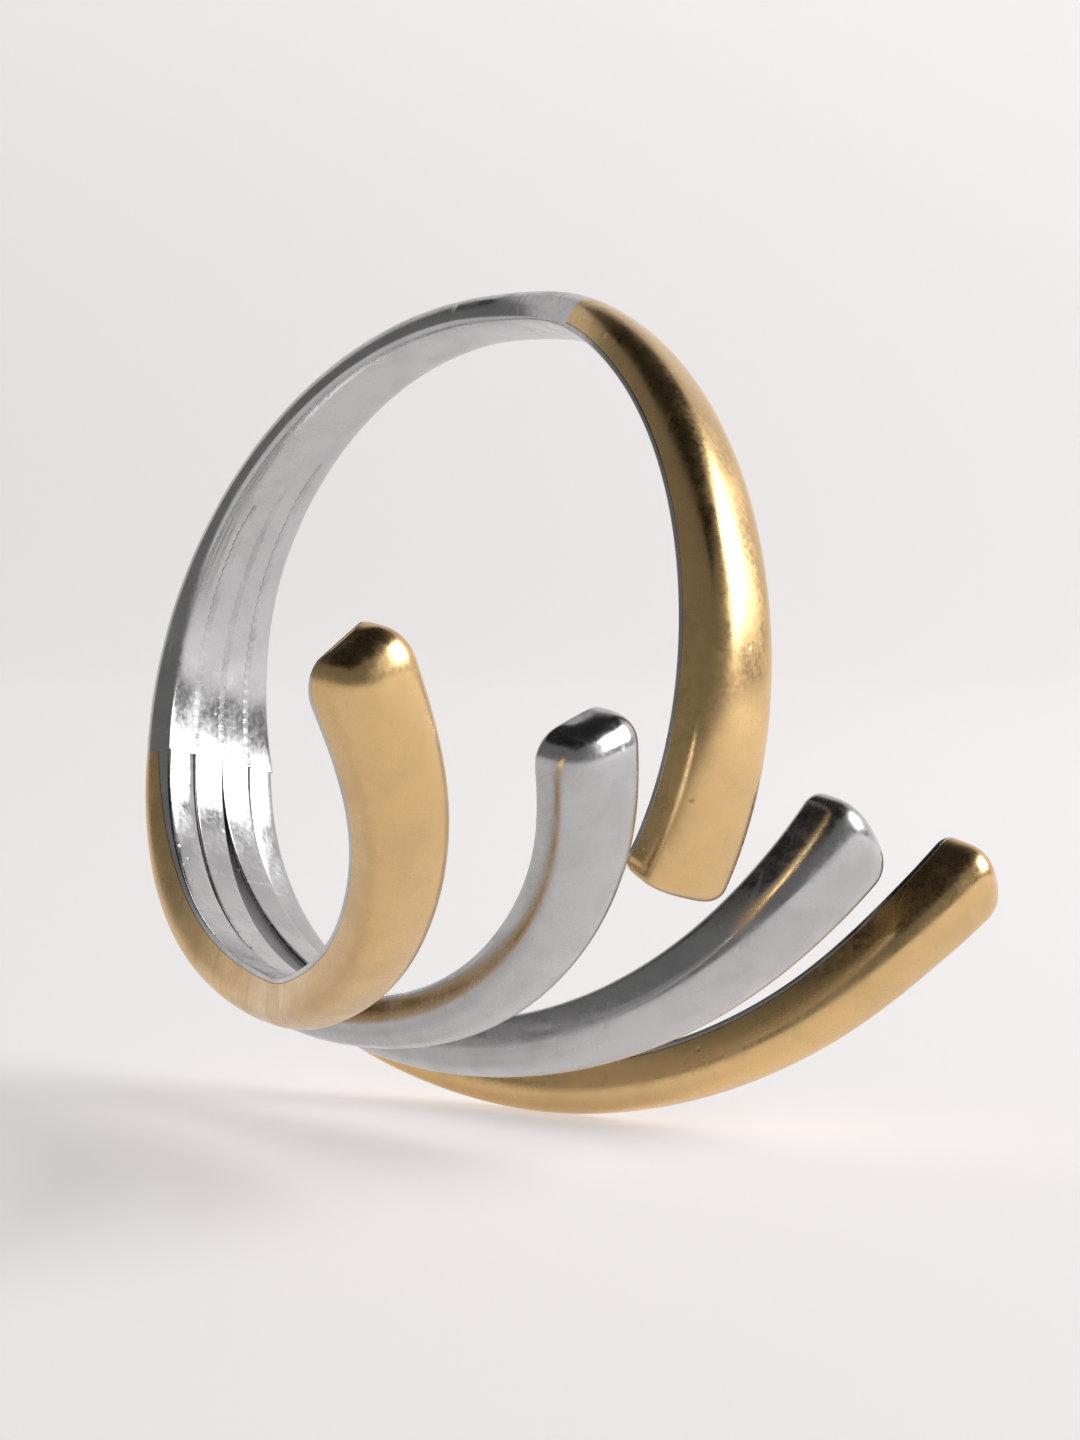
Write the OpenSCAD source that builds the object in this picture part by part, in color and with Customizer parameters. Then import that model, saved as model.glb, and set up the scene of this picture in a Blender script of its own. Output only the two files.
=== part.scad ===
// Open cuff with one arm and four spread fingers, in two metals.
// Places round the cuff are clock angles in degrees: 0 is the top, 90 the right, 180 the
// bottom and 270 the left, seen from the -Y side. Millimetres.

/* [Cuff] */
// Inner radius of the round part, which goes on the wrist
inner_r = 27; // [24:0.5:33]
// How far the cuff's axis leans down towards +Y as it stands
lean = 13.5; // [0:0.5:20]
// Clock angle where the four fingers leave the shank
root_at = 257; // [250:1:265]
// Clock angle where the shank meets the arm
arm_root_at = 22; // [10:1:35]
// Thickness of the silver liner inside the gold pieces
liner_t = 0.5; // [0.3:0.1:0.8]

/* [Shank] */
// Thickness of the shank at the top of the cuff
shank_top_t = 2.8; // [2.2:0.1:3.6]
// Thickness of the shank at the fingers
shank_root_t = 4.2; // [3:0.1:4.6]
// Width of the shank at the fingers
shank_root_w = 11.7; // [11:0.1:14]
// Width of the shank at the top of the cuff
shank_top_w = 5.2; // [4:0.1:7]
// Clock angle where the grooves between the fingers run out over the shank
groove_end_at = 300; // [280:1:330]

/* [Arm] */
// Clock angle of the arm's square tip
arm_tip_at = 117; // [100:1:125]
// Width of the arm at its tip
arm_tip_w = 8.2; // [6:0.1:10]
// Thickness of the arm
arm_t = 3.8; // [3.2:0.1:4.8]
// How far the middle of the arm swings sideways towards -Y
arm_swing = 5.9; // [2:0.1:8]
// How far the tip of the arm lies sideways towards -Y
arm_tip_shift = 3.8; // [0:0.1:6]

/* [Fingers] */
// Clock angles of the four tips
tip_at = [98, 99, 102, 103]; // [90:0.5:110]
// Widths of the four fingers at their tips
tip_w = [6.3, 6.9, 8.6, 7.0]; // [5:0.1:11]
// Powers that say how late each finger widens: 1 is evenly
widening = [1.7, 1.9, 1.8, 1.8]; // [1.3:0.1:2.5]
// Thicknesses of the four fingers at their tips
tip_t = [3.8, 4.0, 4.8, 4.6]; // [3:0.1:6]
// How far each finger is pressed in towards the wrist at its middle
press = [4.7, 4.2, 3.5, 1.4]; // [0:0.1:6]
// Radius of the rounding round each tip
tip_round = 1.4; // [0.8:0.1:1.8]

/* [Finger spread] */
// How far each finger has moved sideways, along Y, 42 degrees from its root
spread_42 = [-3.66, -3.19, 0.09, 1.27]; // [-10:0.01:10]
// The same 72 degrees from the root
spread_72 = [-9.06, -7.09, -0.31, 6.16]; // [-15:0.01:15]
// The same 97 degrees from the root
spread_97 = [-16.26, -9.49, -0.81, 8.56]; // [-25:0.01:20]
// The same 122 degrees from the root
spread_122 = [-23.06, -12.59, 0.69, 12.56]; // [-30:0.01:25]
// The same 142 degrees from the root
spread_142 = [-30.26, -16.29, 3.69, 17.06]; // [-38:0.01:30]
// The same at the tips
spread_tip = [-39.06, -21.09, 6.99, 21.76]; // [-45:0.01:35]

/* [Solder seams] */
// Clock angle where the seams run out inside the shank
seam_end_at = 312; // [290:1:325]
// Width of the solder on the inner face
seam_w = 0.9; // [0.6:0.1:1.4]
// Depth of the solder
seam_d = 0.4; // [0.3:0.1:0.6]

/* [Hidden] */

// The near rim of the shank lies in one plane, this far towards -Y from the opening's middle.
near_rim_y = -2;
// Where the middle of the cuff's opening stands, over the middle of the floor it takes up
stand_at = [0.03, 6.1, 32.35];
// Power of the rounded sections: 2 is an ellipse, and more is squarer
squareness = 3;
// Sections are rounded about a centre this much too low, which leaves a flat inner face.
dig = 0.6;
// The fingers stand this far apart where they leave the shank.
lane_gap = 0.1;
// Steps up a section's side, round the hoop, along a finger and round a tip
side_steps = 9;
lane_steps = 8;
hoop_step = 3;
finger_rings = 30;
tip_steps = 5;
// Turn from the root to the top, to the arm's root and to the arm's tip
top_turn = 360 - root_at;
arm_root_turn = 360 + arm_root_at - root_at;
arm_tip_turn = 360 + arm_tip_at - root_at;
// The fingers are pressed in between these clock angles.
press_from = 255;
press_to = 105;

function clamped(x, low, high) = max(low, min(high, x));

// Smooth curve through values v at the places k, read at x, which starts level
function slope(k, v, i) =
    i == 0 ? 0 :
    i == len(k) - 1 ? (v[i] - v[i - 1]) / (k[i] - k[i - 1]) :
    ((v[i + 1] - v[i]) / (k[i + 1] - k[i]) + (v[i] - v[i - 1]) / (k[i] - k[i - 1])) / 2;
function span_of(k, x, i = 0) = i >= len(k) - 2 || x < k[i + 1] ? i : span_of(k, x, i + 1);
function hermite(u, h, a, b, da, db) =
    a * (1 + 2 * u) * (1 - u) * (1 - u) + da * h * u * (1 - u) * (1 - u)
    + b * u * u * (3 - 2 * u) - db * h * u * u * (1 - u);
function through(k, v, x) =
    let (i = span_of(k, x), h = k[i + 1] - k[i])
    hermite((x - k[i]) / h, h, v[i], v[i + 1], slope(k, v, i), slope(k, v, i + 1));

// A point at a clock angle, a radius and a sideways place
function at(clock, r, y) = [r * sin(clock), y, r * cos(clock)];
function unit(v) = v / norm(v);

// Shank and arm are one hoop, read by the turn from the fingers' root.
function arm_share(turn) = (turn - top_turn) / (arm_tip_turn - top_turn);
function hoop_w(turn) = turn < top_turn
    ? shank_top_w + (shank_root_w - shank_top_w) * pow(1 - turn / top_turn, 1.6)
    : shank_top_w + (arm_tip_w - shank_top_w) * pow(arm_share(turn), 1.3);
function hoop_t(turn) = turn < top_turn
    ? shank_top_t + (shank_root_t - shank_top_t) * pow(1 - turn / top_turn, 1.3)
    : shank_top_t + (arm_t - shank_top_t) * pow(sin(90 * arm_share(turn)), 2);
function hoop_y(turn) = turn < top_turn
    ? near_rim_y + hoop_w(turn) / 2
    : through([top_turn, top_turn + 34, top_turn + 70, arm_tip_turn],
              [near_rim_y + shank_top_w / 2, -0.72 * arm_swing, -arm_swing, -arm_tip_shift],
              turn);

// Fingers, read by the turn from their root towards their tip
lane_w = shank_root_w / 4;
function finger_turn(i) = root_at - tip_at[i];
function finger_share(i, turn) = turn / finger_turn(i);
function finger_w(i, turn) = lane_w - lane_gap
    + (tip_w[i] - lane_w + lane_gap) * pow(finger_share(i, turn), widening[i]);
function finger_t(i, turn) = shank_top_t + (tip_t[i] - shank_top_t) * finger_share(i, turn)
    + (shank_root_t - shank_top_t) * pow(1 - finger_share(i, turn), 3);
function finger_y(i, turn) = near_rim_y + lane_w * (i + 0.5)
    + through([0, 42, 72, 97, 122, 142, finger_turn(i)],
              [0, spread_42[i], spread_72[i], spread_97[i], spread_122[i], spread_142[i],
               spread_tip[i]], turn);
function finger_r(i, clock) =
    clock > press_from || clock < press_to ? inner_r
    : inner_r - press[i] * pow(sin(180 * (press_from - clock) / (press_from - press_to)), 2);
function finger_place(i, turn) =
    at(root_at - turn, finger_r(i, root_at - turn), finger_y(i, turn));

// Half the width at height h of a rounded section w wide and t thick over its flat inner face
function half_w(w, t, h) =
    w / 2 * pow(max(0, 1 - pow(abs(2 * (h + dig) / (t + dig) - 1), squareness)), 1 / squareness);
// Such a section as [across, outward] points, kept from the height low to the height high
function section(w, t, low, high) =
    let (n = side_steps,
         up = [for (k = [0:n]) low + (high - low) * (1 - cos(180 * k / n)) / 2],
         top = high > t - 0.001 ? n - 1 : n)
    concat([for (k = [0:top]) [half_w(w, t, up[k]), up[k]]],
           top < n ? [[0, high]] : [],
           [for (k = [top:-1:0]) [-half_w(w, t, up[k]), up[k]]]);

// Joins rings into a closed solid. Both sides of a split section cross their flat faces
// the same way, so that they meet: flip names the side where that takes the other diagonal.
module joined(rings, lid, flip = -1) {
    n = len(rings[0]);
    far = (len(rings) - 1) * n;
    sides = [for (i = [0:len(rings) - 2]) for (j = [0:n - 1])
        let (a = i * n + j, b = i * n + (j + 1) % n)
        each j == flip ? [[a, b, a + n], [b, b + n, a + n]] : [[a, b, b + n], [a, b + n, a + n]]];
    lids = [for (f = lid) each [[f[0], f[2], f[1]], [far + f[0], far + f[1], far + f[2]]]];
    polyhedron([for (r = rings) each r], concat(sides, lids));
}
function fan(n) = [for (j = [1:n - 2]) [0, j, j + 1]];

// A section at a place, out of its outward and forward directions, with the edges drawn in
function placed(points, place, out, along, t, inset) =
    let (up = unit(out - (out * along) * along), side = cross(along, up))
    [for (p = points) place + p[0] * side + p[1] * (1 - inset / t) * up];

// How far a section is drawn in where that much is left before the rounded tip ends
function drawn_in(left) = left >= tip_round ? 0
    : tip_round - sqrt(max(0, tip_round * tip_round - pow(tip_round - left, 2)));
// Turns for the rings of a tip, from where its rounding starts
function tip_turns(end, cap) = [for (k = [0:tip_steps]) end - cap * (1 - sin(90 * k / tip_steps))];

module swept_finger(i, low, high) {
    end = finger_turn(i);
    per_mm = 180 / PI / (inner_r * 1.15);
    cap = tip_round * per_mm;
    rings = [for (turn = concat([for (k = [0:finger_rings - 1]) (end - cap) * k / finger_rings],
                                tip_turns(end, cap)))
        let (out = at(root_at - turn, 1, 0),
             along = turn <= 0 ? cross(out, [0, 1, 0])
                 : unit(finger_place(i, turn + 0.5) - finger_place(i, turn - 0.5)),
             t = finger_t(i, turn),
             inset = drawn_in((end - turn) / per_mm))
        placed(section(finger_w(i, turn) - 2 * inset, t, low, high < 0 ? t : high),
               finger_place(i, turn), out, along, t, inset)];
    joined(rings, fan(len(rings[0])), high < 0 ? -1 : side_steps);
}

// The hoop's sections stand square to the clock, and its rings run against the clock.
function hoop_ring(points, turn, r, t, inset) =
    let (out = at(root_at + turn, 1, 0))
    placed(points, at(root_at + turn, r, hoop_y(turn)), out, cross(out, [0, 1, 0]), t, inset);
function turns_back(from, to) =
    let (count = ceil((from - to) / hoop_step))
    [for (k = [0:count]) from + (to - from) * k / count];

module swept_arm(low, high) {
    per_mm = 180 / PI / inner_r;
    cap = tip_round * per_mm;
    tip = tip_turns(arm_tip_turn, cap);
    rings = [for (turn = concat([for (k = [tip_steps:-1:1]) tip[k]],
                                turns_back(arm_tip_turn - cap, arm_root_turn)))
        let (t = hoop_t(turn), inset = drawn_in((arm_tip_turn - turn) / per_mm))
        hoop_ring(section(hoop_w(turn) - 2 * inset, t, low, high < 0 ? t : high),
                  turn, inner_r, t, inset)];
    joined(rings, fan(len(rings[0])), high < 0 ? -1 : side_steps);
}

// Across the shank, from one edge to the other, with steps in each of the four lanes
function across(k) = let (lane = floor(k / lane_steps), j = k % lane_steps)
    (lane + (1 - cos(180 * j / lane_steps)) / 2) / 2 - 1;
function arch(x) = pow(max(0, 1 - pow(abs(x), squareness)), 1 / squareness);
function lane_arch(x) = let (y = (x + 1) * 2) arch(2 * (y - floor(y)) - 1);
// The seams run from the fingers' root to turns of their own, inside the shank.
function seam_turn(i) = (seam_end_at - root_at) * (0.7 + 0.1 * i);
function seam_y(i, turn) = near_rim_y + hoop_w(turn) * i / 4;
// The shank's inner face, as [across, outward], holds the seams' grooves by its lanes' edges.
function underside(k, n, w, t, turn) =
    let (i = round(k / lane_steps), off = k - i * lane_steps, x = across(k))
    i > 0 && i < 4 && abs(off) <= 2 && turn <= seam_turn(i) + 0.001
        ? [w * (i / 4 - 0.5) + sign(off) * [0, 0.3, 0.5][abs(off)] * seam_w,
           abs(off) < 2 ? seam_d : 0]
        : [w / 2 * x, max(0, (t - dig) / 2 - (t + dig) / 2 * arch(x))];
function shank_section(w, t, grooved, turn) =
    let (n = 4 * lane_steps, middle = (t - dig) / 2, rise = (t + dig) / 2)
    concat([for (k = [0:n]) let (x = across(k),
                full = k == 0 || k == n ? 0 : arch(x),
                lanes = k % lane_steps == 0 ? 0 : lane_arch(x))
                [w / 2 * x, middle + rise * (full + grooved * (min(full, lanes) - full))]],
           [for (k = [n - 1:-1:1]) underside(k, n, w, t, turn)]);
function strip(n) = concat([[0, 1, 2 * n - 1], [n - 1, n, n + 1]],
    [for (j = [1:n - 2]) each [[j, j + 1, 2 * n - j - 1], [j, 2 * n - j - 1, 2 * n - j]]]);

module stand() translate(stand_at) rotate([-lean, 0, 0]) children();

module shank() color("silver") stand()
    joined([for (turn = turns_back(arm_root_turn, 0))
        let (t = hoop_t(turn), g = clamped(1 - turn / (groove_end_at - root_at), 0, 1),
             p = hoop_ring(shank_section(hoop_w(turn), t, g * g, turn), turn, inner_r, t, 0))
        concat([p[0]], [for (k = [len(p) - 1:-1:1]) p[k]])],
        strip(4 * lane_steps));

module arm_shell() color("goldenrod") stand() swept_arm(liner_t, -1);
module arm_liner() color("silver") stand() swept_arm(0, liner_t);

module finger_1_shell() color("goldenrod") stand() swept_finger(0, liner_t, -1);
module finger_1_liner() color("silver") stand() swept_finger(0, 0, liner_t);
module finger_2() color("silver") stand() swept_finger(1, 0, -1);
module finger_3() color("silver") stand() swept_finger(2, 0, -1);
module finger_4_shell() color("goldenrod") stand() swept_finger(3, liner_t, -1);
module finger_4_liner() color("silver") stand() swept_finger(3, 0, liner_t);

// Solder that fills the groove between two lanes, flush with the inner face
module solder_seam(i) color("gray") stand()
    joined([for (turn = turns_back(arm_root_turn, 0)) if (turn <= seam_turn(i) + 0.001)
        let (out = at(root_at + turn, 1, 0))
        placed([for (p = [[0.5, 0], [0.3, 1], [0, 1], [-0.3, 1], [-0.5, 0]])
                    [p[0] * seam_w, p[1] * seam_d]],
               at(root_at + turn, inner_r, seam_y(i, turn)), out, cross(out, [0, 1, 0]), 1, 0)],
        fan(5));

shank();
arm_shell();
arm_liner();
finger_1_shell();
finger_1_liner();
finger_2();
finger_3();
finger_4_shell();
finger_4_liner();
solder_seam(1);  // solder_seam_1
solder_seam(2);  // solder_seam_2
solder_seam(3);  // solder_seam_3
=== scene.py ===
# %% [markdown]
# # An open cuff in two metals
# The object is a springy cuff that stands on its edge. A silver shank runs over the top from
# the left. At its left end it splits into four fingers, which fan out underneath and curl up
# at the right. A single gold arm comes down from the top to face them. Fingers 1 and 4 and
# the arm are gold outside and silver inside, and fingers 2 and 3 are silver all through.
#
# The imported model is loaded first. It is the frame that every piece is built around, and all
# lengths are in metres.

# %% Load the frame
import math
import bmesh
import bpy
from mathutils import Matrix, Vector


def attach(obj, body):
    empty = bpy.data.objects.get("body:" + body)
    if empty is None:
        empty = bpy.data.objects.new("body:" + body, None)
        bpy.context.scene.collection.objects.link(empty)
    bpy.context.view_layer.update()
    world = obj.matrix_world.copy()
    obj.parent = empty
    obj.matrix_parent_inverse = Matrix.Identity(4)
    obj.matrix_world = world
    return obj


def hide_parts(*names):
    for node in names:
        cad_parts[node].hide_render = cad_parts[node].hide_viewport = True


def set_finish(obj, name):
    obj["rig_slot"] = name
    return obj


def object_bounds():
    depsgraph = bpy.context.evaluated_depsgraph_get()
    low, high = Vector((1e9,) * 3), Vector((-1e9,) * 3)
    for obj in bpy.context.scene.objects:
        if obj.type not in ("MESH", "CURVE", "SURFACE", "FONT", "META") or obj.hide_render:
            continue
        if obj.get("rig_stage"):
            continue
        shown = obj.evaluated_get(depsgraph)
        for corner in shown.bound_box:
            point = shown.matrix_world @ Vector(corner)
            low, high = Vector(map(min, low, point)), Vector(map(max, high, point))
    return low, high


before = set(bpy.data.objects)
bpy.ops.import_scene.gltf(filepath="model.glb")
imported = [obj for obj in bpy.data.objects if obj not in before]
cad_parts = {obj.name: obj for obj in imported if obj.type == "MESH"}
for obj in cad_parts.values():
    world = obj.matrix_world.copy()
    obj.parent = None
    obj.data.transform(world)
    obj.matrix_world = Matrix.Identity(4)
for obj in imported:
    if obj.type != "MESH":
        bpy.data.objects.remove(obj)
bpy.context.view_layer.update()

print("nodes:", sorted(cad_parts))

# %% [markdown]
# ## The laws of the shape
# Each piece is a bar that is swept along a path on the wrist's cylinder, so a few plain laws
# give its place, width and thickness all along. Places round the cuff are clock angles, with
# 0 at the top and 90 at the right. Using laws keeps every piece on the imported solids, and
# lets the mesh be as fine as the polish needs.

# %% The cuff's sizes
MM = 0.001
INNER_R = 27 * MM
LEAN = math.radians(13.5)
STAND_AT = Vector((0.03, 6.1, 32.35)) * MM
ROOT_AT = 257.0
ARM_ROOT_AT = 22.0
ARM_TIP_AT = 117.0
NEAR_RIM_Y = -2 * MM
TOP_TURN = 360 - ROOT_AT
ARM_ROOT_TURN = 360 + ARM_ROOT_AT - ROOT_AT
ARM_TIP_TURN = 360 + ARM_TIP_AT - ROOT_AT
SHANK_TOP_T, SHANK_ROOT_T = 2.8 * MM, 4.2 * MM
SHANK_TOP_W, SHANK_ROOT_W = 5.2 * MM, 11.7 * MM
GROOVE_END_TURN = 300 - ROOT_AT
SEAM_END_TURN = 312 - ROOT_AT
ARM_TIP_W, ARM_T, ARM_SWING, ARM_TIP_SHIFT = 8.2 * MM, 3.8 * MM, 5.9 * MM, 3.8 * MM
LINER_T = 0.5 * MM
TIP_ROUND = 2.0 * MM
ARM_TIP_ROUND = 1.3 * MM
LANE_W = SHANK_ROOT_W / 4
LANE_GAP = 0.1 * MM
PRESS_FROM, PRESS_TO = 255.0, 105.0

# Powers of the rounded sections, where 2 is an ellipse and more is squarer
CROWN, FOOT, SQUARE_FOOT = 2.7, 7.0, 40.0
# How far bends in a path are spread, as a turn
FLOW_REACH = 7.0
# Turns from the root over which a finger leaves the shank's arch, its inner corners get
# rounder, its liner gets thinner and the gap to the next finger opens
ARCH_BLEND, FOOT_BLEND, LINER_BLEND, GAP_BLEND = 30, 50, 40, 25
# A liner's share of the thickness at the root, and a tip's inset as a share of it
LINER_ROOT_SHARE, TIP_INSET_SHARE = 0.30, 0.6

# One row for each finger: tip's clock angle, width and thickness there, the power that says
# how late it widens, how far it is pressed in, and how far it has moved sideways by each turn.
FINGERS = [
    (98.0, 6.3, 3.8, 1.7, 4.7, (-3.66, -9.06, -16.26, -23.06, -30.26, -39.06)),
    (99.0, 6.9, 4.0, 1.9, 4.2, (-3.19, -7.09, -9.49, -12.59, -16.29, -21.09)),
    (102.0, 8.6, 4.8, 1.8, 3.5, (0.09, -0.31, -0.81, 0.69, 3.69, 6.99)),
    (103.0, 7.0, 4.6, 1.8, 1.4, (1.27, 6.16, 8.56, 12.56, 17.06, 21.76)),
]
SPREAD_TURNS = (42, 72, 97, 122, 142)


# %% Smooth curves through a few values
def through(places, values, x):
    """A smooth curve that starts level, read at x."""
    last = len(places) - 1

    def slope(i):
        if i == 0:
            return 0.0
        before = (values[i] - values[i - 1]) / (places[i] - places[i - 1])
        if i == last:
            return before
        after = (values[i + 1] - values[i]) / (places[i + 1] - places[i])
        return (before + after) / 2

    i = 0
    while i < last - 1 and x >= places[i + 1]:
        i += 1
    h = places[i + 1] - places[i]
    u = (x - places[i]) / h
    return (values[i] * (1 + 2 * u) * (1 - u) ** 2 + slope(i) * h * u * (1 - u) ** 2
            + values[i + 1] * u * u * (3 - 2 * u) - slope(i + 1) * h * u * u * (1 - u))


def clamped(x, low=0.0, high=1.0):
    return max(low, min(high, x))


def flowing(places, values, x, reach=FLOW_REACH, steps=5):
    """The same curve with its changes of bend spread out, so that reflections run smoothly."""
    total = weights = 0.0
    reach = min(reach, places[-1] - x)
    for k in range(-steps, steps + 1):
        weight = steps + 1 - abs(k)
        total += weight * through(places, values, max(places[0], x + reach * k / steps))
        weights += weight
    return total / weights


# %% Where the hoop runs
def arm_share(turn):
    return clamped((turn - TOP_TURN) / (ARM_TIP_TURN - TOP_TURN))


def hoop_w(turn):
    if turn < TOP_TURN:
        return SHANK_TOP_W + (SHANK_ROOT_W - SHANK_TOP_W) * (1 - turn / TOP_TURN) ** 1.6
    return SHANK_TOP_W + (ARM_TIP_W - SHANK_TOP_W) * arm_share(turn) ** 1.3


def hoop_t(turn):
    if turn < TOP_TURN:
        return SHANK_TOP_T + (SHANK_ROOT_T - SHANK_TOP_T) * (1 - turn / TOP_TURN) ** 1.3
    return SHANK_TOP_T + (ARM_T - SHANK_TOP_T) * math.sin(math.pi / 2 * arm_share(turn)) ** 2


def hoop_y(turn):
    if turn < TOP_TURN - FLOW_REACH:
        return NEAR_RIM_Y + hoop_w(turn) / 2
    return flowing((TOP_TURN, TOP_TURN + 34, TOP_TURN + 70, ARM_TIP_TURN),
                   (NEAR_RIM_Y + SHANK_TOP_W / 2, -0.72 * ARM_SWING, -ARM_SWING,
                    -ARM_TIP_SHIFT), turn)


def at(clock, r, y):
    a = math.radians(clock)
    return Vector((r * math.sin(a), y, r * math.cos(a)))


def hoop_place(turn):
    return at(ROOT_AT + turn, INNER_R, hoop_y(turn))


# %% Where the fingers run
class Finger:
    """The laws of one finger, read by its turn from the root towards its tip."""

    def __init__(self, number):
        tip_at, self.tip_w, self.tip_t, self.widening, self.press, spread = FINGERS[number]
        self.number = number
        self.end = ROOT_AT - tip_at
        root_y = NEAR_RIM_Y + LANE_W * (number + 0.5)
        self.turns = (0,) + SPREAD_TURNS + (self.end,)
        self.ys = (root_y,) + tuple(root_y + y * MM for y in spread)

    def width(self, turn):
        share = clamped(turn / self.end)
        root_w = LANE_W - LANE_GAP * clamped(turn / GAP_BLEND)
        return root_w + (self.tip_w * MM - root_w) * share ** self.widening

    def thick(self, turn):
        share = clamped(turn / self.end)
        return (SHANK_TOP_T + (self.tip_t * MM - SHANK_TOP_T) * share
                + (SHANK_ROOT_T - SHANK_TOP_T) * (1 - share) ** 3)

    def place(self, turn):
        clock = ROOT_AT - turn
        r = INNER_R
        if PRESS_TO < clock < PRESS_FROM:
            share = (PRESS_FROM - clock) / (PRESS_FROM - PRESS_TO)
            r -= self.press * MM * math.sin(math.pi * share) ** 2
        return at(clock, r, flowing(self.turns, self.ys, turn, min(FLOW_REACH, turn)))


fingers = [Finger(i) for i in range(4)]
print("finger turns:", [f.end for f in fingers])

# %% [markdown]
# ## The sweep
# A real cuff like this is cast and then polished, so its bars have no flat facets. Each bar
# starts as a circle of points. The circle is moulded to the bar's section, then its edge is
# extruded again and again, and each new ring is moulded to the section at the next place.
# Near a tip the rings draw in round an arc and over a low dome, and the last ring is filled.
# The outermost edges are marked sharp, so that pieces which meet there shade as one.


# %% Mould a ring to a section
def lobe(c, s, squareness):
    """Where a squared circle puts the point of a circle with cosine c and sine s."""
    k = 2 / squareness
    return (math.copysign(abs(c) ** k, c), math.copysign(abs(s) ** k, s))


BELT = 0.36


def arch(x, squareness=CROWN):
    return max(0.0, 1 - abs(x) ** squareness) ** (1 / squareness)


def rounded(w, t, low=0.0, crown=CROWN, foot=FOOT):
    """A rounded bar's section: a crowned top, and a flat inner face with small corners."""
    middle = BELT * t

    def section(c, s, inset):
        x, h = lobe(c, s, crown if s >= 0 else foot)
        reach = t - middle if s >= 0 else middle - low
        height = middle + reach * h
        lift = 0.35 * inset
        return (x * (w / 2 - inset), lift + (height - low) * (t - low - inset - lift)
                / (t - low) + low)

    return section


def mould(ring, unit, place, along, section, inset=0.0):
    out = Vector((place.x, 0, place.z)).normalized()
    out = (out - out.dot(along) * along).normalized()
    side = along.cross(out)
    for v, (c, s) in zip(ring, unit):
        x, h = section(c, s, inset)
        v.co = place + x * side + h * out


# %% Sweep a bar
def sweep(name, stations, segments=64):
    """A closed bar through (place, along, section, inset) stations."""
    bm = bmesh.new()
    made = bmesh.ops.create_circle(bm, segments=segments, radius=1.0, cap_ends=False)
    ring = made["verts"]
    unit = [(v.co.x, v.co.y) for v in ring]
    edges = list(bm.edges)
    mould(ring, unit, *stations[0])
    first = list(edges)
    for station in stations[1:]:
        made = bmesh.ops.extrude_edge_only(bm, edges=edges)
        new = [g for g in made["geom"] if isinstance(g, bmesh.types.BMVert)]
        edges = [g for g in made["geom"] if isinstance(g, bmesh.types.BMEdge)
                 and g.verts[0] in new and g.verts[1] in new]
        fresh = set(new)
        follow = {}
        for v in ring:
            for e in v.link_edges:
                other = e.other_vert(v)
                if other in fresh:
                    follow[v] = other
        ring = [follow[v] for v in ring]
        mould(ring, unit, *station)
    for edge in first + edges:
        edge.smooth = False
    bmesh.ops.edgeloop_fill(bm, edges=first)
    bmesh.ops.edgeloop_fill(bm, edges=edges)
    bmesh.ops.recalc_face_normals(bm, faces=bm.faces)
    bmesh.ops.rotate(bm, verts=bm.verts, cent=(0, 0, 0), matrix=Matrix.Rotation(-LEAN, 3, "X"))
    bmesh.ops.translate(bm, verts=bm.verts, vec=STAND_AT)
    mesh = bpy.data.meshes.new(name)
    bm.to_mesh(mesh)
    bm.free()
    for polygon in mesh.polygons:
        polygon.use_smooth = len(polygon.vertices) == 4
    piece = bpy.data.objects.new(name, mesh)
    bpy.context.scene.collection.objects.link(piece)
    lengths = [(b[0] - a[0]).length for a, b in zip(stations, stations[1:])]
    print(f"{name}: {len(mesh.polygons)} faces, {sum(lengths) / MM:.1f} mm long")
    return piece


# %% Stations along a path, closed by a rounded end
def drawn_in(left, radius=TIP_ROUND):
    if left >= radius:
        return 0.0
    return radius - math.sqrt(max(0.0, radius ** 2 - (radius - left) ** 2))


def spaced(start, stop, count):
    return [start + (stop - start) * k / count for k in range(count + 1)]


TIP_STEPS = 14
TIP_ARC = math.radians(68)
DOME_STEPS = 6


def tip_turns(end, cap):
    return [end - cap * (1 - math.sin(TIP_ARC * k / TIP_STEPS)) for k in range(TIP_STEPS + 1)]


def closing(place, along, section, inset, deepest, ahead):
    """The end face: the last ring drawn in over a low dome, which bulges the way ahead."""
    span = deepest - inset
    rise = span / math.tan(TIP_ARC)
    stations = []
    for k in range(1, DOME_STEPS + 1):
        share = k / DOME_STEPS
        out = place + ahead * rise * (share - share ** 2 / 2)
        stations.append((out, along, section, inset + span * share))
    return stations


def near_root(f, turn, plain, t):
    """By the shank, a finger is no higher than the shank's one wide arch."""
    fade = clamped(1 - turn / ARCH_BLEND) ** 2
    centre = LANE_W * (f.number - 1.5)

    def section(c, s, inset):
        x, h = plain(c, s, inset)
        if s <= 0 or fade <= 0:
            return x, h
        belt = BELT * t
        wide = arch(2 * (centre + x) / SHANK_ROOT_W)
        cut = min(h, belt + (t - belt) * wide)
        return x, h + fade * (cut - h)

    return section


def liner_top(left, turn, t):
    """How high a liner reaches: it is thick at a finger's root and thins out at the tip."""
    root = (LINER_ROOT_SHARE * t - LINER_T) * clamped(1 - turn / LINER_BLEND) ** 2
    return (LINER_T + root) * math.sqrt(clamped(left / TIP_ROUND, 0.02))


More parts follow.
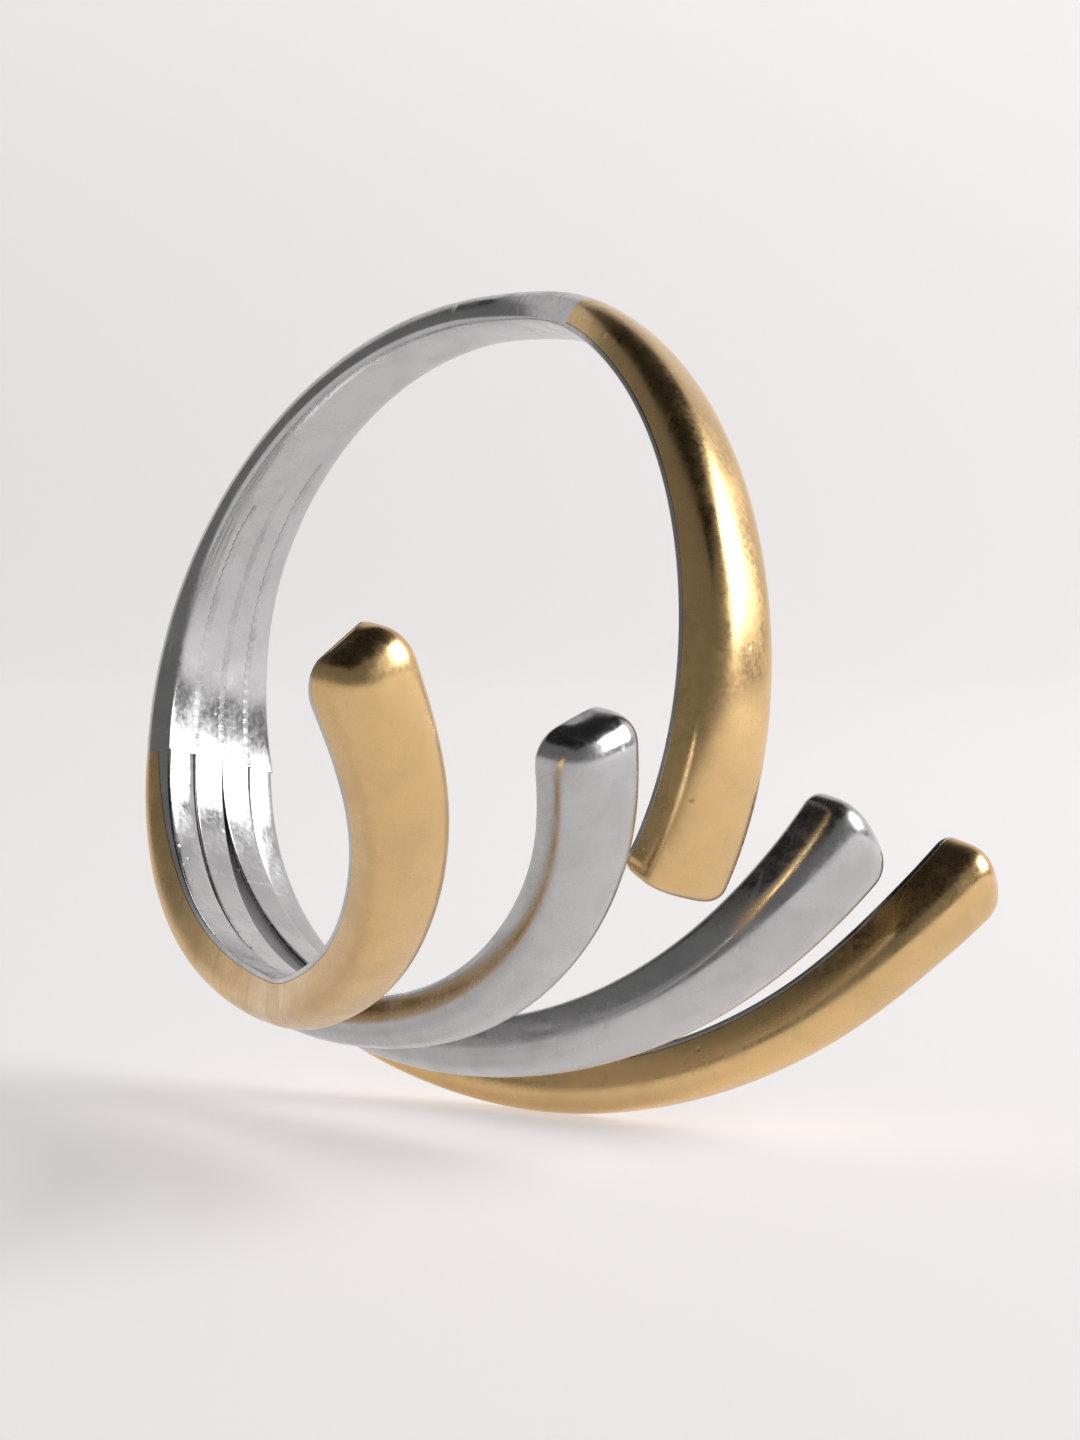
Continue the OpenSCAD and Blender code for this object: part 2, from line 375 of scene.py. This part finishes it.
def finger_stations(f, part="bar", count=170):
    per_mm = 180 / math.pi / (INNER_R * 1.15)
    cap = TIP_ROUND * per_mm
    turns = spaced(0, f.end - cap, count)[:-1] + tip_turns(f.end, cap)
    stations = []
    for turn in turns:
        if turn <= 0:
            out = at(ROOT_AT, 1, 0)
            along = out.cross(Vector((0, 1, 0)))
        else:
            along = (f.place(turn + 0.5) - f.place(turn - 0.5)).normalized()
        t = f.thick(turn)
        inset = drawn_in((f.end - turn) / per_mm)
        foot = FOOT + SQUARE_FOOT * clamped(1 - turn / FOOT_BLEND) ** 2
        top = liner_top((f.end - turn) / per_mm, turn, t)
        section = near_root(f, turn, bar_section(f.width(turn), t, part, top, foot), t)
        stations.append((f.place(turn), along, section, inset))
    place, along, section, inset = stations[-1]
    deepest = TIP_INSET_SHARE * f.thick(f.end)
    if part == "liner":
        return stations
    return stations + closing(place, along, section, inset, deepest, along)


def bar_section(w, t, part, top, foot=FOOT):
    """The section of a whole bar, of a shell over a liner, or of the liner."""
    if part == "liner":
        return liner_section(w, top)
    return rounded(w, t, top, foot=SQUARE_FOOT) if part == "shell" else rounded(w, t, foot=foot)


def liner_section(w, top):
    """A thin plate, a little narrower than the bar, with rounded inner corners."""
    def section(c, s, inset):
        x, h = lobe(c, s, 30.0 if s > 0 else 4.0)
        return (x * (0.495 * w - inset), top / 2 * (1 + h) + 0.35 * inset)
    return section


# %% [markdown]
# ## The fingers
# Fingers 2 and 3 are one bar each. Fingers 1 and 4 are gold, with a thin silver liner on the
# inner face that shows as a fine line along the edge, so each is a shell bar and a plate.

# %% Make the fingers
pieces = {}


def keep(piece, slot, *nodes):
    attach(piece, "root")
    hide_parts(*nodes)
    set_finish(piece, slot)
    pieces[piece.name] = piece
    return piece


keep(sweep("gold_finger_1", finger_stations(fingers[0], "shell")), "gold", "finger_1_shell")
keep(sweep("liner_finger_1", finger_stations(fingers[0], "liner")), "silver",
     "finger_1_liner")
keep(sweep("silver_finger_2", finger_stations(fingers[1])), "silver", "finger_2")
keep(sweep("silver_finger_3", finger_stations(fingers[2])), "silver", "finger_3")
keep(sweep("gold_finger_4", finger_stations(fingers[3], "shell")), "gold", "finger_4_shell")
keep(sweep("liner_finger_4", finger_stations(fingers[3], "liner")), "silver",
     "finger_4_liner")

# %% [markdown]
# ## The shank and the arm
# The shank is the part of the hoop that stays silver. Its near rim lies in one plane and it
# widens to the left, where three grooves open on its back as the fingers part. The grooves
# are drawn by taking the lower of one wide arch and four narrow ones. The arm is the hoop's
# gold end, with its own silver liner, and it leans towards the near side.


# %% The shank's section, with its opening grooves
def shank_section(w, t, grooved, round_off):
    plain = rounded(w, t, crown=CROWN - 0.75 * round_off,
                    foot=FOOT - 3.4 * round_off + 30 * grooved ** 2)

    def section(c, s, inset):
        x, h = plain(c, s, inset)
        if s <= 0 or grooved <= 0:
            return x, h
        across = clamped(x / w + 0.5, 0, 0.99999) * 4
        lane = arch(2 * (across - math.floor(across)) - 1)
        wide = arch(2 * x / w)
        if wide < 1e-6:
            return x, h
        belt = BELT * t
        return x, belt + (h - belt) * (1 + grooved * (min(wide, lane) / wide - 1))

    return section


def hoop_along(turn):
    return at(ROOT_AT + turn, 1, 0).cross(Vector((0, 1, 0)))


shank_stations = []
for turn in spaced(ARM_ROOT_TURN, 0, 260):
    opened = clamped(1 - turn / GROOVE_END_TURN) ** 2
    round_off = (1 - opened) * clamped((ARM_ROOT_TURN - turn) / 30)
    shank_stations.append((hoop_place(turn), hoop_along(turn),
                           shank_section(hoop_w(turn), hoop_t(turn), opened, round_off), 0.0))
keep(sweep("silver_shank", shank_stations, 160), "silver", "shank")


# %% The arm and its liner
def arm_stations(part):
    per_mm = 180 / math.pi / INNER_R
    cap = ARM_TIP_ROUND * per_mm
    turns = tip_turns(ARM_TIP_TURN, cap)[::-1] + spaced(ARM_TIP_TURN - cap, ARM_ROOT_TURN, 170)[1:]
    stations = []
    for turn in turns:
        inset = drawn_in((ARM_TIP_TURN - turn) / per_mm, ARM_TIP_ROUND)
        top = liner_top((ARM_TIP_TURN - turn) / per_mm, LINER_BLEND, hoop_t(turn))
        section = bar_section(hoop_w(turn), hoop_t(turn), part, top)
        stations.append((hoop_place(turn), hoop_along(turn), section, inset))
    if part == "shell":
        place, along, section, inset = stations[0]
        deepest = TIP_INSET_SHARE * ARM_T
        stations = closing(place, along, section, inset, deepest, -along)[::-1] + stations
    return stations


keep(sweep("gold_arm", arm_stations("shell")), "gold", "arm_shell")
keep(sweep("liner_arm", arm_stations("liner")), "silver", "arm_liner")

# %% [markdown]
# ## The solder seams
# Inside the shank the four lanes are joined by solder. It was filed flush, and small pits are
# left along it. Each seam is a low bead whose height and width waver a little.


# %% Make the seams
def seam_stations(i):
    end = SEAM_END_TURN * (0.7 + 0.1 * i)
    stations = []
    for turn in spaced(0, end, 220):
        waver = math.sin(turn * 7.1 + i) * math.sin(turn * 3.3 + 2 * i)
        fade = min(1.0, (end - turn) / 6)
        w = (0.30 + 0.12 * waver) * MM * (0.4 + 0.6 * fade)
        rise = (0.025 + 0.02 * waver) * MM * fade * (1.0 if i == 3 else 0.4)

        def section(c, s, inset, w=w, rise=rise):
            return (w * c, 0.3 * MM * s if s > 0 else rise * s)

        y = NEAR_RIM_Y + hoop_w(turn) * i / 4
        stations.append((at(ROOT_AT + turn, INNER_R, y), -hoop_along(turn), section, 0.0))
    return stations


for i in (1, 2, 3):
    keep(sweep(f"seam_bead_{i}", seam_stations(i), 24), "solder", f"solder_seam_{i}")


# %% [markdown]
# ## The metals
# Polished metal shows its surroundings, so its own colour is one number on the shader. What
# makes it look handled is in the roughness and the bump: fine scratches in many directions,
# cloudy patches where the polish has worn, and a few small pits. All of them read Object
# coordinates, so they stay on the metal.


# %% Build a worn metal
def worn_metal(name, colour, rough, cloud, pit_size, pit_share, scratch, tint=0.0):
    material = bpy.data.materials.new(name)
    material.use_nodes = True
    nodes, links = material.node_tree.nodes, material.node_tree.links
    shader = nodes["Principled BSDF"]
    shader.inputs["Metallic"].default_value = 1.0
    shader.inputs["Base Color"].default_value = (*colour, 1)
    coords = nodes.new("ShaderNodeTexCoord")

    def noise(scale, detail, distortion=0.0, stretch=None, turn=None):
        texture = nodes.new("ShaderNodeTexNoise")
        texture.inputs["Scale"].default_value = scale
        texture.inputs["Detail"].default_value = detail
        texture.inputs["Distortion"].default_value = distortion
        source = coords.outputs["Object"]
        if stretch is not None:
            mapping = nodes.new("ShaderNodeMapping")
            mapping.inputs["Scale"].default_value = stretch
            mapping.inputs["Rotation"].default_value = turn
            links.new(source, mapping.inputs["Vector"])
            source = mapping.outputs["Vector"]
        links.new(source, texture.inputs["Vector"])
        return texture.outputs["Fac"]

    def mapped(value, low, high, to_low, to_high):
        node = nodes.new("ShaderNodeMapRange")
        node.interpolation_type = "SMOOTHSTEP"
        for key, number in (("From Min", low), ("From Max", high), ("To Min", to_low),
                            ("To Max", to_high)):
            node.inputs[key].default_value = number
        links.new(value, node.inputs["Value"])
        return node.outputs["Result"]

    def joined(operation, a, b):
        node = nodes.new("ShaderNodeMath")
        node.operation = operation
        links.new(a, node.inputs[0])
        if isinstance(b, float):
            node.inputs[1].default_value = b
        else:
            links.new(b, node.inputs[1])
        return node.outputs[0]

    clouds = mapped(noise(260, 5, 0.6), 0.35, 0.7, rough, rough + cloud)
    grain = mapped(noise(2600, 3), 0.3, 0.7, -0.03, 0.05)
    hairs = None
    for turn in ((0.3, 0.2, 0.5), (1.1, -0.4, 1.9), (-0.6, 0.9, 2.7)):
        layer = mapped(noise(1500, 2, 0.2, (1, 0.02, 0.10), turn), 0.66, 0.72, 0, 1)
        hairs = layer if hairs is None else joined("MAXIMUM", hairs, layer)
    pits = nodes.new("ShaderNodeTexVoronoi")
    pits.inputs["Scale"].default_value = 1 / pit_size
    links.new(coords.outputs["Object"], pits.inputs["Vector"])
    hollow = mapped(pits.outputs["Distance"], 0.05, 0.16, 1, 0)
    where = mapped(noise(150, 2), 1 - pit_share, 1.02 - pit_share, 0, 1)
    holes = joined("MULTIPLY", hollow, where)

    level = joined("ADD", joined("ADD", clouds, grain), joined("MULTIPLY", hairs, scratch))
    level = joined("ADD", level, joined("MULTIPLY", holes, 0.25))
    links.new(level, shader.inputs["Roughness"])
    height = joined("ADD", joined("MULTIPLY", hairs, -0.25), joined("MULTIPLY", holes, -4.0))
    height = joined("ADD", height, joined("MULTIPLY", noise(420, 3), 0.3))
    bump = nodes.new("ShaderNodeBump")
    bump.inputs["Strength"].default_value = 0.5
    bump.inputs["Distance"].default_value = 0.012 * MM
    links.new(height, bump.inputs["Height"])
    links.new(bump.outputs["Normal"], shader.inputs["Normal"])
    if tint:
        mix = nodes.new("ShaderNodeMix")
        mix.data_type = "RGBA"
        mix.inputs["A"].default_value = (*colour, 1)
        mix.inputs["B"].default_value = (*[c * (1 - tint) for c in colour], 1)
        links.new(mapped(noise(320, 4, 0.4), 0.4, 0.7, 0, 1), mix.inputs["Factor"])
        links.new(mix.outputs["Result"], shader.inputs["Base Color"])
    return material


gold = worn_metal("polished_gold", (0.74, 0.505, 0.24), 0.23, 0.10, 1.6 * MM, 0.42, 0.08, 0.08)
silver = worn_metal("polished_silver", (0.55, 0.55, 0.555), 0.17, 0.14, 1.5 * MM, 0.44, 0.10, 0.10)
solder = worn_metal("pitted_solder", (0.54, 0.54, 0.55), 0.24, 0.2, 0.5 * MM, 0.7, 0.1, 0.25)
FINISH = {"gold": gold, "silver": silver, "solder": solder}
for piece in pieces.values():
    piece.data.materials.clear()
    piece.data.materials.append(FINISH[piece["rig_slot"]])
print("finishes:", {name: m.name for name, m in FINISH.items()})

# %% [markdown]
# ## The camera
# The cuff is seen from the near right at table height, turned a little, with a long lens. The
# shift of the frame is done by where the camera stands, so the lens needs no shift.

# %% Place the camera
TURN, DOWN = math.radians(39.8), math.radians(4.0)
right = Vector((math.cos(TURN), math.sin(TURN), 0))
forward = Vector((-math.sin(TURN) * math.cos(DOWN), math.cos(TURN) * math.cos(DOWN),
                  -math.sin(DOWN)))
up = right.cross(forward)
rim_centre = STAND_AT + Matrix.Rotation(-LEAN, 3, "X") @ Vector((0, NEAR_RIM_Y, 0))
spot = rim_centre + (7.94 * right - 2.60 * up - 189 * forward) * MM
camera = bpy.data.objects.new("camera", bpy.data.cameras.new("camera"))
bpy.context.scene.collection.objects.link(camera)
camera.matrix_world = Matrix.Translation(spot) @ Matrix(
    (right, up, -forward)).transposed().to_4x4()
camera.data.sensor_fit = "VERTICAL"
camera.data.sensor_height = 36
camera.data.lens = 65.45
camera.data.clip_start = 0.01
bpy.context.scene.camera = camera
print("camera at", [round(v, 4) for v in spot])

# %% [markdown]
# ## Floor, backdrop and light
# The floor and backdrop are one pale sheet that curves up behind, as in a studio. A large
# soft light stands at the right. The room behind the camera is dim, and a near-black card of
# painted shade hangs overhead in place of the unlit ceiling; those draw the dark bands on the
# metal. The sheet glows a little by itself, which keeps it even and its shadows soft.


# %% Lay the sheet
def studio_sheet(floor_z):
    """A profile of floor, curve and wall, extruded sideways."""
    bm = bmesh.new()
    radius, front, back, wall, half = 0.25, 0.55, 0.55, 1.1, 1.4
    profile = [Vector((-half, -front, floor_z))]
    steps = 24
    for k in range(steps + 1):
        a = math.pi / 2 * k / steps
        profile.append(Vector((-half, back + radius * math.sin(a),
                               floor_z + radius * (1 - math.cos(a)))))
    profile.append(Vector((-half, back + radius, floor_z + wall)))
    verts = [bm.verts.new(p) for p in profile]
    edges = [bm.edges.new(pair) for pair in zip(verts, verts[1:])]
    made = bmesh.ops.extrude_edge_only(bm, edges=edges)
    moved = [g for g in made["geom"] if isinstance(g, bmesh.types.BMVert)]
    bmesh.ops.translate(bm, verts=moved, vec=(2 * half, 0, 0))
    bmesh.ops.rotate(bm, verts=bm.verts, cent=(0, 0, 0), matrix=Matrix.Rotation(TURN, 3, "Z"))
    bmesh.ops.recalc_face_normals(bm, faces=bm.faces)
    mesh = bpy.data.meshes.new("studio_sheet")
    bm.to_mesh(mesh)
    bm.free()
    for polygon in mesh.polygons:
        polygon.use_smooth = True
    sheet = bpy.data.objects.new("studio_sheet", mesh)
    bpy.context.scene.collection.objects.link(sheet)
    sheet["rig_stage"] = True
    return sheet


SHEET_GAP = 0.05 * MM
sheet = studio_sheet(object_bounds()[0][2] - SHEET_GAP)
paper = bpy.data.materials.new("pale_paper")
paper.use_nodes = True
paper_shader = paper.node_tree.nodes["Principled BSDF"]
paper_shader.inputs["Base Color"].default_value = (0.62, 0.605, 0.605, 1)
paper_shader.inputs["Roughness"].default_value = 0.9
paper_shader.inputs["Emission Color"].default_value = (0.83, 0.80, 0.80, 1)
paper_shader.inputs["Emission Strength"].default_value = 0.58
sheet.data.materials.append(paper)


# %% Set the lights
def studio_point(where):
    """A point by how far it is to the camera's right, up, and away from the camera."""
    away = Vector((-math.sin(TURN), math.cos(TURN), 0))
    return where[0] * right + where[1] * Vector((0, 0, 1)) + where[2] * away


def soft_light(name, size, power, where):
    light = bpy.data.lights.new(name, "AREA")
    light.shape = "RECTANGLE"
    light.size, light.size_y = size
    light.energy = power
    lamp = bpy.data.objects.new(name, light)
    bpy.context.scene.collection.objects.link(lamp)
    spot = studio_point(where)
    aim = (Vector((0, 0, 0.02)) - spot).to_track_quat("-Z", "Y")
    lamp.matrix_world = Matrix.Translation(spot) @ aim.to_matrix().to_4x4()


soft_light("key_right", (0.50, 0.46), 5.6, (0.72, 0.40, 0.02))


def dark_ceiling(height, half):
    """A near-black card overhead, painted shade that stands in for the unlit ceiling of a studio.
    """
    bm = bmesh.new()
    bmesh.ops.create_grid(bm, x_segments=1, y_segments=1, size=half)
    bmesh.ops.translate(bm, verts=bm.verts, vec=(0, 0, height))
    mesh = bpy.data.meshes.new("dark_ceiling")
    bm.to_mesh(mesh)
    bm.free()
    card = bpy.data.objects.new("dark_ceiling", mesh)
    bpy.context.scene.collection.objects.link(card)
    card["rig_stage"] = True
    # The card's near-black colour is painted shade for the unlit ceiling, not a dark cloth.
    shade_paint = bpy.data.materials.new("painted_shade_card")
    shade_paint.use_nodes = True
    shader = shade_paint.node_tree.nodes["Principled BSDF"]
    shader.inputs["Base Color"].default_value = (0.01, 0.01, 0.01, 1)
    shader.inputs["Roughness"].default_value = 1.0
    card.data.materials.append(shade_paint)


dark_ceiling(0.9, 0.9)

world = bpy.data.worlds.new("room")
bpy.context.scene.world = world
world.use_nodes = True
world.node_tree.nodes["Background"].inputs["Color"].default_value = (0.24, 0.237, 0.233, 1)
world.node_tree.nodes["Background"].inputs["Strength"].default_value = 0.8
bpy.context.scene.view_settings.view_transform = "Standard"
